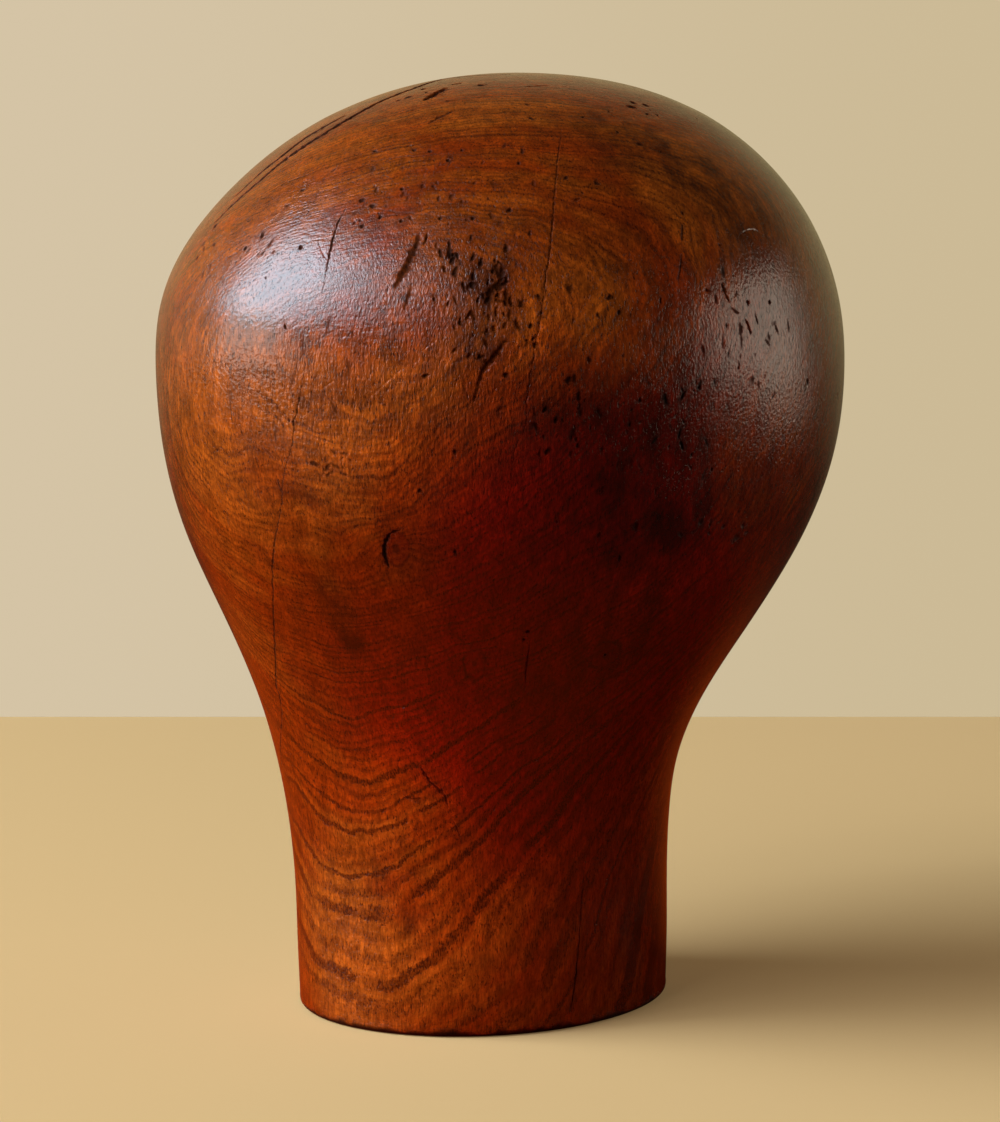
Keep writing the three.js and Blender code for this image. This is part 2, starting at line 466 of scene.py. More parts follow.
PIT_PATCHES = tuple(
    PitPatch(*crowd, length * MM, width * MM, depth * MM, grime)
    for *crowd, length, width, depth, grime in (
        (482, 305, 32, 46, 34, 1.7, 0.8, 0.5, 0.45), (498, 288, 12, 26, 18, 2.4, 1.2, 0.6, 0.6),
        (450, 258, 24, 16, 11, 1.6, 0.7, 0.35, 0.7), (430, 190, 110, 42, 46, 1.2, 0.7, 0.25, 0.45),
        (560, 170, 90, 60, 14, 1.1, 0.8, 0.25, 0.7), (560, 340, 60, 70, 16, 1.3, 0.9, 0.3, 0.7),
        (560, 430, 50, 34, 18, 1.5, 0.7, 0.3, 0.5), (620, 470, 90, 70, 20, 1.2, 0.6, 0.2, 0.5),
        (705, 528, 40, 13, 12, 1.0, 1.6, 0.3, 0.55), (745, 350, 50, 80, 24, 1.5, 0.6, 0.2, 0.65),
        (690, 400, 40, 60, 20, 1.6, 0.6, 0.3, 0.8), (345, 395, 60, 60, 46, 2.4, 0.35, 0.14, 0.4),
        (250, 480, 40, 60, 26, 2.0, 0.3, 0.1, 0.4), (328, 461, 26, 9, 12, 0.5, 1.8, 0.2, 0.6),
        (205, 255, 14, 36, 12, 1.6, 0.8, 0.3, 0.5), (265, 250, 12, 18, 8, 1.4, 0.7, 0.25, 0.6),
        (430, 100, 60, 14, 8, 1.0, 1.0, 0.3, 0.8), (640, 110, 60, 18, 8, 0.9, 1.2, 0.3, 0.8),
    )
)
STAIN_ROWS = {  # pixel across and down, reach across and down, strength
    Tint.DARK: (
        (488, 300, 34, 52, 0.35), (498, 290, 16, 34, 0.35), (470, 350, 26, 26, 0.5),
        (695, 400, 34, 60, 0.15), (668, 158, 80, 30, 0.4), (700, 185, 40, 60, 0.4), (700, 520, 60, 24, 0.5),
        (560, 425, 46, 34, 0.45), (342, 600, 16, 30, 0.55), (349, 638, 12, 14, 0.8),
        (323, 592, 12, 14, 0.35), (292, 492, 16, 14, 0.4), (640, 610, 60, 60, 0.3),
        (625, 950, 40, 60, 0.45), (345, 505, 60, 10, 0.15), (440, 180, 150, 50, 0.12),
        (480, 300, 110, 90, 0.05), (405, 922, 34, 18, 0.45), (645, 455, 55, 70, 0.55),
        (500, 560, 70, 60, 0.12), (560, 690, 60, 70, 0.25), (660, 640, 60, 80, 0.15),
    ),
    # partly painted shade over the shaded centre and right
    Tint.RED: (
        (600, 610, 150, 230, 0.8),
    ),
    # partly painted light on the lit left, the crown and near the highlights
    Tint.GOLD: (
        (326, 575, 14, 40, 0.4), (765, 215, 40, 60, 0.5), (335, 900, 50, 110, 0.3), (705, 240, 40, 50, 0.4),
        (480, 290, 60, 60, 0.4), (205, 420, 55, 130, 0.6), (380, 370, 95, 75, 0.6), (335, 940, 45, 80, 0.3),
        (440, 950, 90, 70, 0.4), (270, 370, 60, 60, 0.5), (290, 200, 90, 40, 0.5), (400, 820, 70, 60, 0.3),
        (600, 325, 70, 60, 0.5), (420, 620, 60, 90, 0.2), (480, 100, 190, 36, 0.4), (330, 450, 60, 60, 0.4),
        (300, 465, 80, 75, 0.35), (335, 940, 50, 80, 0.3), (770, 440, 50, 90, 0.5),
    ),
    # partly painted light: brighter patches on the lit front and left, painted reflection haze at the right
    # rim and round the right highlight, darker under the left highlight
    Tint.GLOW: (
        (430, 780, 75, 70, 0.8), (420, 945, 120, 75, 0.45), (370, 410, 90, 100, 0.45),
        (500, 890, 50, 90, 0.3), (440, 325, 32, 40, 0.35), (440, 440, 40, 40, 0.35),
        (500, 500, 60, 50, 0.5), (720, 350, 40, 90, 0.8), (765, 215, 40, 60, 0.4), (620, 350, 60, 80, 0.25),
        (540, 320, 60, 50, 1.0), (500, 410, 50, 50, 0.3), (330, 475, 50, 50, 0.1), (700, 250, 40, 50, 0.5),
        (550, 850, 50, 60, 0.3), (580, 380, 180, 180, 0.35), (720, 330, 50, 100, 0.7),
        (210, 430, 40, 110, 0.25), (340, 800, 40, 40, 0.3), (520, 940, 30, 60, 0.3),
        (620, 320, 60, 60, 0.3), (440, 950, 60, 70, 0.3), (430, 790, 80, 60, 0.15),
        (275, 285, 70, 55, -0.4), (735, 175, 36, 50, 0.4), (450, 900, 60, 60, 0.3), (680, 560, 50, 60, 0.7),
        (395, 470, 40, 40, 0.35), (775, 440, 50, 100, 0.9),
    ),
    Tint.COARSE: (
        (400, 300, 150, 110, 0.5), (440, 370, 110, 110, 0.9), (560, 410, 110, 100, 0.9),
        (310, 460, 90, 90, 0.9), (335, 940, 70, 80, 1.0), (740, 420, 50, 110, 0.1),
        (440, 880, 120, 90, 0.3),
    ),
}
STAINS = tuple(Stain(*row, tint) for tint, rows in STAIN_ROWS.items() for row in rows)


@dataclass(frozen=True)
class Knot:
    """A small branch that grew through the wood, seen end on."""

    name: str
    across: float
    down: float
    width: float
    height: float
    swell: float  # how far it stands proud
    bulge: float  # how far the growth rings bend round it


KNOTS = (
    Knot("round_knot", 396, 549, 7.0 * MM, 10.5 * MM, 0.12 * MM, 2.4 * MM),
    Knot("oval_knot", 474, 664, 5.6 * MM, 13.0 * MM, 0.08 * MM, 1.6 * MM),
    Knot("faint_knot", 606, 655, 9.0 * MM, 9.0 * MM, 0.04 * MM, 1.6 * MM),
)


@dataclass
class Line:
    """A groove laid on the surface, as closely spaced places."""

    groove: Groove
    places: np.ndarray
    facings: np.ndarray
    along: np.ndarray  # the direction in which the line runs at each place
    widths: np.ndarray


@dataclass
class Hollow:
    """A pit laid on the surface."""

    spot: Spot
    length: float
    width: float
    depth: float
    grime: float
    turn: float  # radians from the grain

    def axes(self) -> tuple[np.ndarray, np.ndarray]:
        """Finds how the pit lies on the surface.

        Returns:
            The directions along and across it, as unit vectors.
        """
        facing = np.array(self.spot.facing)
        grain = np.array((0, 0, 1)) - facing * facing[2]
        grain = grain / np.linalg.norm(grain)
        lengthwise = grain * math.cos(self.turn) + np.cross(facing, grain) * math.sin(self.turn)
        return lengthwise, np.cross(facing, lengthwise)

    def marks(self) -> list[tuple[np.ndarray, float]]:
        """Covers the pit with three round marks in a row.

        Returns:
            The place and the radius of each.
        """
        place = np.array(self.spot.place)
        step = self.axes()[0] * self.length * 0.3
        radius = max(self.width / 2, self.length * 0.2)
        return [(place + step * side, radius) for side in (-1, 0, 1)]


@dataclass
class Wear:
    """What has happened to each vertex of the block."""

    sink: np.ndarray  # how far it is pressed or cut in
    grime: np.ndarray  # dirt held in it, and painted shade in its hollows and along the foot's edge, from 0 to 1
    stain: np.ndarray  # darker wood, from 0 to 1
    gold: np.ndarray  # more golden wood above 0 and redder wood below it, partly painted light on the lit left and painted shade on the shaded centre and right
    glow: np.ndarray  # brighter wood above 0 and darker below it, partly painted light: lit patches and painted reflection haze
    coarse: np.ndarray  # wrinkled wood above 0

    @classmethod
    def none(cls, count: int) -> "Wear":
        """Starts with so many unworn vertices."""
        return cls(*(np.zeros(count) for _ in fields(cls)))

    def cut(self, near: np.ndarray, sink: np.ndarray, grime: np.ndarray) -> None:
        """Sinks the near vertices and darkens them with dirt and painted shade where they aren't deeper or
        darker yet.
        """
        self.sink[near] = np.where(np.abs(sink) > np.abs(self.sink[near]), sink, self.sink[near])
        self.grime[near] = np.maximum(self.grime[near], grime)


@dataclass
class HeadBlock:
    """The block itself: one carved piece of wood from crown to foot."""

    viewpoint: Viewpoint
    crown_height: float = 238 * MM  # above this the CAD rings give way to a plain grid
    crown_span: int = 20  # squares across that grid
    smooth_levels: int = 2
    merge_gap: float = 0.001 * MM
    rim_angle: float = 40.0  # degrees between faces where the socket's edges stay crisp
    shade_angle: float = 50.0  # degrees between faces that are shaded as one surface
    line_step: float = 0.2 * MM  # between places of a groove
    close_reaches: tuple[float, ...] = (0.95 * MM, 0.46 * MM, 0.14 * MM)  # finer faces this near to a mark
    faint_depth: float = 0.22 * MM  # a shallower pit does without the finest faces
    broad_width: float = 1.0 * MM  # a wider groove does without them too
    turned_away: float = 0.1  # and so does a pit whose facing goes this far along the view
    hidden_pits: int = 70
    hidden_bearings: tuple[float, float] = (150, 330)  # the side that the photograph doesn't show
    hidden_heights: tuple[float, float] = (60, 235)  # millimetres
    socket_radius: float = 14.2 * MM
    socket_edges: float = 63 * MM  # its edges lie below this height
    socket_end: float = 75 * MM  # and all of it lies below this one
    neck_axis: float = -10.45 * MM  # the socket's axis in Y
    lump_size: float = 26 * MM
    lump_depth: float = 0.25 * MM  # how uneven the carving is
    even_below: float = 2 * MM  # the foot's edge and underside stay as they are
    stain_depth: float = 60 * MM  # so far from its middle, in or out, a stain has faded
    seed: int = 11
    spots: dict[str, Spot] = field(default_factory=dict)

    def build(self) -> bpy.types.Object:
        """Makes the worn block.

        Returns:
            The finished piece, without its finish.
        """
        block = self._smooth_copy()
        skin = Skin(block, self.viewpoint)
        lines = [self._lay(groove, skin) for groove in GROOVES]
        hollows = self._hollows(skin)
        for knot in KNOTS:
            self.spots[knot.name] = skin.under_pixel(knot.across, knot.down)
        self._refine(block, lines, hollows)
        wear = self._worn(block, skin, lines, hollows)
        self._press(block, wear)
        select_only(block)
        bpy.ops.object.shade_smooth_by_angle(angle=math.radians(self.shade_angle))
        return block

    def _smooth_copy(self) -> bpy.types.Object:
        """Copies the CAD block, closes its crown with a grid and smooths its facets.

        Returns:
            The smooth block, without a material.
        """
        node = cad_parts[BLOCK_NODE]
        block = bpy.data.objects.new("wig_block", node.data.copy())
        bpy.context.scene.collection.objects.link(block)
        select_only(block)
        bpy.ops.object.mode_set(mode="EDIT")
        bpy.ops.mesh.select_all(action="SELECT")
        bpy.ops.mesh.remove_doubles(threshold=self.merge_gap)
        bpy.ops.mesh.tris_convert_to_quads(face_threshold=math.pi, shape_threshold=math.pi)
        self._crease_rims(block)
        bpy.ops.object.mode_set(mode="OBJECT")
        pattern = block.copy()
        pattern.data = block.data.copy()
        bpy.context.scene.collection.objects.link(pattern)
        apply_modifier(pattern, "SUBSURF", levels=self.smooth_levels, render_levels=self.smooth_levels)
        self._grid_crown(block, pattern)
        apply_modifier(block, "SUBSURF", levels=self.smooth_levels, render_levels=self.smooth_levels)
        bpy.data.objects.remove(pattern)
        block.data.materials.clear()
        return block

    def _crease_rims(self, block: bpy.types.Object) -> None:
        """Keeps the foot's underside flat and the socket's edges crisp while the block is smoothed.

        Args:
            block: The block, in edit mode.
        """
        mesh = bmesh.from_edit_mesh(block.data)
        bpy.ops.mesh.select_all(action="DESELECT")
        bpy.ops.mesh.select_mode(type="EDGE")
        for edge in mesh.edges:
            flat = [face.normal.z < -0.999 for face in edge.link_faces]
            in_socket = all(abs(vertex.co.x) < self.socket_radius for vertex in edge.verts)
            sharp = edge.calc_face_angle(0) > math.radians(self.rim_angle)
            rim = in_socket and sharp and edge.verts[0].co.z < self.socket_edges
            edge.select = any(flat) != all(flat) or rim
        bmesh.update_edit_mesh(block.data)
        bpy.ops.transform.edge_crease(value=1.0)
        bpy.ops.mesh.select_mode(type="VERT")

    def _grid_crown(self, block: bpy.types.Object, pattern: bpy.types.Object) -> None:
        """Replaces the crown's pole with a grid of squares.

        Args:
            block: The block to change.
            pattern: Its smooth copy, on which the grid is laid.
        """
        select_only(block)
        bpy.ops.object.mode_set(mode="EDIT")
        bpy.ops.mesh.select_mode(type="FACE")
        mesh = bmesh.from_edit_mesh(block.data)
        bpy.ops.mesh.select_all(action="DESELECT")
        for face in mesh.faces:
            face.select = face.calc_center_median().z > self.crown_height
        bmesh.update_edit_mesh(block.data)
        bpy.ops.mesh.delete(type="FACE")
        bpy.ops.mesh.select_mode(type="EDGE")
        mesh = bmesh.from_edit_mesh(block.data)
        for edge in mesh.edges:
            edge.select = edge.is_boundary
        bmesh.update_edit_mesh(block.data)
        bpy.ops.mesh.fill_grid(span=self.crown_span)
        mesh = bmesh.from_edit_mesh(block.data)
        inner = [vertex.index for vertex in mesh.verts if vertex.select and not self._on_ring(vertex)]
        bpy.ops.object.mode_set(mode="OBJECT")
        group = block.vertex_groups.new(name="crown")
        group.add(inner, 1.0, "REPLACE")
        apply_modifier(
            block, "SHRINKWRAP", target=pattern, wrap_method="PROJECT", vertex_group="crown",
            use_project_x=False, use_project_y=False, use_project_z=True, use_negative_direction=True,
        )
        block.vertex_groups.clear()

    def _on_ring(self, vertex: bmesh.types.BMVert) -> bool:
        """Says whether a vertex belongs to the ring that the crown's grid joins."""
        return any(not face.select for face in vertex.link_faces)

    def _lay(self, groove: Groove, skin: Skin) -> Line:
        """Lays a groove on the surface, wandering a little as it goes.

        Args:
            groove: The groove to lay.
            skin: The surface.

        Returns:
            The groove's line.
        """
        route = np.array(groove.route)
        spots = [(skin.under_pixel(across, down), share) for across, down, share in self._curved(route)]
        kept = [(spot, share) for spot, share in spots if spot is not None]
        places = np.array([spot.place for spot, _ in kept])
        facings = np.array([spot.facing for spot, _ in kept])
        shares = np.array([share for _, share in kept])
        travelled = np.concatenate([[0], np.cumsum(np.linalg.norm(np.diff(places, axis=0), axis=1))])
        stops = np.arange(0, travelled[-1], self.line_step)
        places = np.stack([np.interp(stops, travelled, places[:, axis]) for axis in range(3)], 1)
        facings = np.stack([np.interp(stops, travelled, facings[:, axis]) for axis in range(3)], 1)
        along = np.gradient(places, axis=0)
        along /= np.linalg.norm(along, axis=1)[:, None]
        sideways = np.cross(along, facings)
        ragged = groove.raggedness
        row = len(groove.name)
        drift = np.array([noise.noise(Vector((stop / (2.2 * MM), row, 0))) for stop in stops])
        waver = np.array([noise.noise(Vector((stop / (1.1 * MM), 7, row))) for stop in stops])
        places += sideways * (drift * ragged.wander)[:, None]
        widths = groove.width * np.interp(stops, travelled, shares)
        return Line(groove, places, facings, along, widths * np.clip(1 + ragged.waver * waver, 0.1, 2))

    def _curved(self, route: np.ndarray) -> np.ndarray:
        """Rounds a route of pixels into a smooth line with a stop about every pixel.

        Args:
            route: Rows of pixel across, pixel down and share of the width.

        Returns:
            The same kind of rows, closely spaced.
        """
        padded = np.vstack([2 * route[0] - route[1], route, 2 * route[-1] - route[-2]])
        rows = []
        for start in range(1, len(padded) - 2):
            before, first, second, after = padded[start - 1:start + 3]
            steps = max(2, int(np.hypot(*(second - first)[:2])))
            slope = (second - before) / 2
            bend = (2 * before - 5 * first + 4 * second - after) / 2
            twist = (3 * first - before - 3 * second + after) / 2
            for share in np.arange(steps) / steps:
                rows.append(first + slope * share + bend * share**2 + twist * share**3)
        rows.append(route[-1])
        return np.array(rows)

    def _hollows(self, skin: Skin) -> list[Hollow]:
        """Lays every pit that the photograph shows, and scatters like ones over the unseen side.

        Args:
            skin: The smooth surface.

        Returns:
            The pits.
        """
        rng = np.random.default_rng(self.seed)
        hollows = []
        for pit in PIN_HOLES:
            spot = skin.under_pixel(pit.across, pit.down)
            if spot:
                hollows.append(Hollow(spot, pit.length, pit.width, pit.depth, pit.grime, rng.normal(0, 0.3)))
        for patch in PIT_PATCHES:
            hollows += self._crowd(patch, skin, rng)
        for _ in range(self.hidden_pits):
            bearing = rng.uniform(*self.hidden_bearings)
            height = rng.uniform(*self.hidden_heights) * MM
            size = rng.uniform(0.6, 1.6) * MM
            spot = skin.at_bearing(bearing, height)
            hollows.append(Hollow(spot, size * 1.3, size, size * 0.35, 0.8, rng.normal(0, 0.4)))
        return hollows

    def _crowd(self, patch: PitPatch, skin: Skin, rng: np.random.Generator) -> list[Hollow]:
        """Scatters the pits of one patch, most of them small.

        Args:
            patch: The patch.
            skin: The smooth surface.
            rng: The source of random numbers.

        Returns:
            The pits that land on the block.
        """
        hollows = []
        for _ in range(patch.count):
            across, down = rng.normal(0, 0.55, 2) * (patch.reach_across, patch.reach_down)
            size = rng.uniform(0.35, 1.0) ** 1.5 * 1.9
            spot = skin.under_pixel(patch.across + across, patch.down + down)
            if spot:
                depth = patch.depth * rng.uniform(0.5, 1.3)
                length, width = patch.length * size, patch.width * size * rng.uniform(0.6, 1.1)
                hollows.append(Hollow(spot, length, width, depth, patch.grime, rng.normal(0, 0.45)))
        return hollows

    def _refine(self, block: bpy.types.Object, lines: list[Line], hollows: list[Hollow]) -> None:
        """Divides the faces near each mark, finer the closer they are.

        Args:
            block: The smooth block.
            lines: Its grooves.
            hollows: Its pits.
        """
        finest = len(self.close_reaches)
        forward, _, _ = self.viewpoint.axes()
        marks = []
        for line in lines:
            fineness = finest - 1 if line.groove.width > self.broad_width else finest
            every_other = zip(line.places[::2], line.widths[::2])
            marks += [(place, width / 2, fineness) for place, width in every_other]
        for hollow in hollows:
            unseen = hollow.spot.facing.dot(forward) > self.turned_away
            fineness = finest - 1 if unseen or hollow.depth < self.faint_depth else finest
            marks += [(place, radius, fineness) for place, radius in hollow.marks()]
        tree = tree_of([place for place, _, _ in marks])
        select_only(block)
        for depth, reach in enumerate(self.close_reaches):
            bpy.ops.object.mode_set(mode="EDIT")
            bpy.ops.mesh.select_mode(type="FACE")
            mesh = bmesh.from_edit_mesh(block.data)
            for face in mesh.faces:
                _, index, gap = tree.find(face.calc_center_median())
                _, radius, fineness = marks[index]
                face.select = bool(gap < radius + reach and depth < fineness)
            bmesh.update_edit_mesh(block.data)
            bpy.ops.mesh.subdivide(number_cuts=1, smoothness=1.0, ngon=False, quadcorner="INNERVERT")
            bpy.ops.object.mode_set(mode="OBJECT")

    def _worn(self, block: bpy.types.Object, skin: Skin, lines: list[Line], hollows: list[Hollow]) -> Wear:
        """Works out how each mark changes the surface.

        Args:
            block: The refined block.
            skin: The smooth surface.
            lines: Its grooves.
            hollows: Its pits.

        Returns:
            The wear of every vertex.
        """
        points = points_of(block.data)
        wear = Wear.none(len(points))
        for line in lines:
            self._cut_line(points, wear, line)
        for hollow in hollows:
            self._cut_hollow(points, wear, hollow)
        for knot in KNOTS:
            spot = self.spots[knot.name]
            reach = np.linalg.norm(points - np.array(spot.place), axis=1)
            wear.sink -= knot.swell * np.exp(-((reach / knot.width) ** 2))
        for stain in STAINS:
            self._lay_stain(points, wear, stain, skin)
        return wear

    def _cut_line(self, points: np.ndarray, wear: Wear, line: Line) -> None:
        """Cuts one groove.

        Args:
            points: The block's vertices.
            wear: The wear to add to.
            line: The groove's line.
        """
        groove, ragged = line.groove, line.groove.raggedness
        margin = groove.width * 1.5
        low, high = line.places.min(0) - margin, line.places.max(0) + margin
        near = np.flatnonzero(np.all((points > low) & (points < high), axis=1))
        tree = tree_of(line.places)
        index = np.array([tree.find(Vector(point))[1] for point in points[near]])
        offset = points[near] - line.places[index]
        sideways = np.einsum("ij,ij->i", offset, np.cross(line.along[index], line.facings[index]))
        ahead = np.einsum("ij,ij->i", offset, line.along[index])
        half = line.widths[index] / 2 + 1e-9
        torn = lumpiness(points[near], 0.8 * MM)
        across = sideways / half * (1 + ragged.tear * torn)
        at_end = np.clip(1 - np.abs(ahead) / (half + self.line_step), 0, 1)
        share = np.clip(line.widths[index] / groove.width, 0.15, 1)
        lip = ragged.lip * np.exp(-((np.abs(across) - 1.25) ** 2) / 0.06)
        fitful = 0.75 + ragged.unrest * np.roll(torn, 1)
        sink = groove.depth * share * (groove.cut.depth_at(across) - lip) * at_end * fitful
        # dirt and painted shade in and beside the groove
        dirt_and_shade = np.clip(ragged.spread - np.abs(across), 0, 1) * at_end * np.clip(share * 3, 0, 1)
        wear.cut(near, sink, groove.grime * dirt_and_shade)

    def _cut_hollow(self, points: np.ndarray, wear: Wear, hollow: Hollow) -> None:
        """Cuts one pit, ragged at its edge.

        Args:
            points: The block's vertices.
            wear: The wear to add to.
            hollow: The pit.
        """
        place = np.array(hollow.spot.place)
        reach = max(hollow.length, hollow.width) * 1.2
        near = np.flatnonzero(np.all(np.abs(points - place) < reach, axis=1))
        if not len(near):
            return
        offset = points[near] - place
        lengthwise, crosswise = hollow.axes()
        along = offset @ lengthwise / (hollow.length / 2)
        across = offset @ crosswise / (hollow.width / 2)
        radius = np.hypot(along, across) * (1 + 0.55 * lumpiness(points[near], 0.7 * MM))
        # dirt and painted shade in and round the pit
        dirt_and_shade = min(hollow.grime * 1.2, 1) * ease(1.6 - radius)
        wear.cut(near, hollow.depth * 0.75 * ease(1.15 - radius), dirt_and_shade)
        wear.stain[near] += 0.25 * hollow.grime * ease(1.6 - radius * 0.6)

    def _lay_stain(self, points: np.ndarray, wear: Wear, stain: Stain, skin: Skin) -> None:
        """Changes the wood in a soft patch, some patches partly painting light and shade.

        Args:
            points: The block's vertices.
            wear: The wear to add to.
            stain: The patch.
            skin: The smooth surface.
        """
        middle = skin.under_pixel(stain.across, stain.down)
        side = skin.under_pixel(stain.across + stain.reach_across, stain.down)
        foot = skin.under_pixel(stain.across, stain.down + stain.reach_down)
        if None in (middle, side, foot):
            return
        offset = points - np.array(middle.place)
        across, down = np.array(side.place - middle.place), np.array(foot.place - middle.place)
        share = np.hypot(offset @ across / (across @ across), offset @ down / (down @ down))
        depth = np.abs(offset @ np.array(middle.facing)) / self.stain_depth
        change = stain.strength * np.exp(-(share**2)) * np.clip(1 - depth, 0, 1)
        kind, way = stain.tint.value
        layer = getattr(wear, kind)
        layer += way * change

    def _press(self, block: bpy.types.Object, wear: Wear) -> None:
        """Moves the surface in by its wear and keeps the rest of the wear as attributes.

        Args:
            block: The refined block.
            wear: The wear of every vertex.
        """
        mesh = block.data
        points, normals = points_of(mesh), points_of(mesh, "normal")
        radius = np.hypot(points[:, 0], points[:, 1] - self.neck_axis)
        bore = (radius < self.socket_radius) & (points[:, 2] < self.socket_end)
        moved = (points[:, 2] > self.even_below) & ~bore
        lumps = (0.5 - lumpiness(points, self.lump_size) / 2) * self.lump_depth
        points -= normals * ((wear.sink + lumps) * moved)[:, None]
        mesh.vertices.foreach_set("co", points.astype(np.float32).ravel())
        raw = ((points[:, 2] < 0.3 * MM) | bore).astype(float)
        # painted shade and dirt along the foot's bottom edge, darker towards the floor
        edge = (2.2 + 1.4 * lumpiness(points, 3 * MM)) * MM
        foot_dirt_and_shade = 0.9 * ease((edge - points[:, 2]) / edge * 1.6) * ~bore
        # the gold layer holds painted light and shade as well as more golden and redder wood
        kept = {
            # the grime layer takes in the painted shade along the foot's edge
            "grime": np.maximum(wear.grime, foot_dirt_and_shade), "stain": np.clip(wear.stain, 0, 1), "gold": wear.gold,
            # the lightness layer is partly painted light and painted reflection haze
            "glow": wear.glow, "coarse": wear.coarse, "raw": raw,
        }
        for name, values in kept.items():
            layer = mesh.attributes.new(name, "FLOAT", "POINT")
            layer.data.foreach_set("value", values.astype(np.float32))
        mesh.update()


class Value:
    """A number that a shader works out. A sum with it adds nodes to its tree."""

    def __init__(self, bench: "NodeBench", socket: Socket) -> None:
        """Takes the output of a node.

        Args:
            bench: What adds nodes to its tree.
            socket: The output.
        """
        self.bench = bench
        self.socket = socket

    def __add__(self, other: "Value | float") -> "Value":
        """Adds a number."""
        return self.bench.math("ADD", self, other)

    def __sub__(self, other: "Value | float") -> "Value":
        """Takes a number away."""
        return self.bench.math("SUBTRACT", self, other)

    def __mul__(self, other: "Value | float") -> "Value":
        """Multiplies by a number."""
        return self.bench.math("MULTIPLY", self, other)

    def __truediv__(self, other: "Value | float") -> "Value":
        """Divides by a number."""
        return self.bench.math("DIVIDE", self, other)


Colour = tuple[float, float, float]
Input = Value | Socket | float | tuple[float, ...]


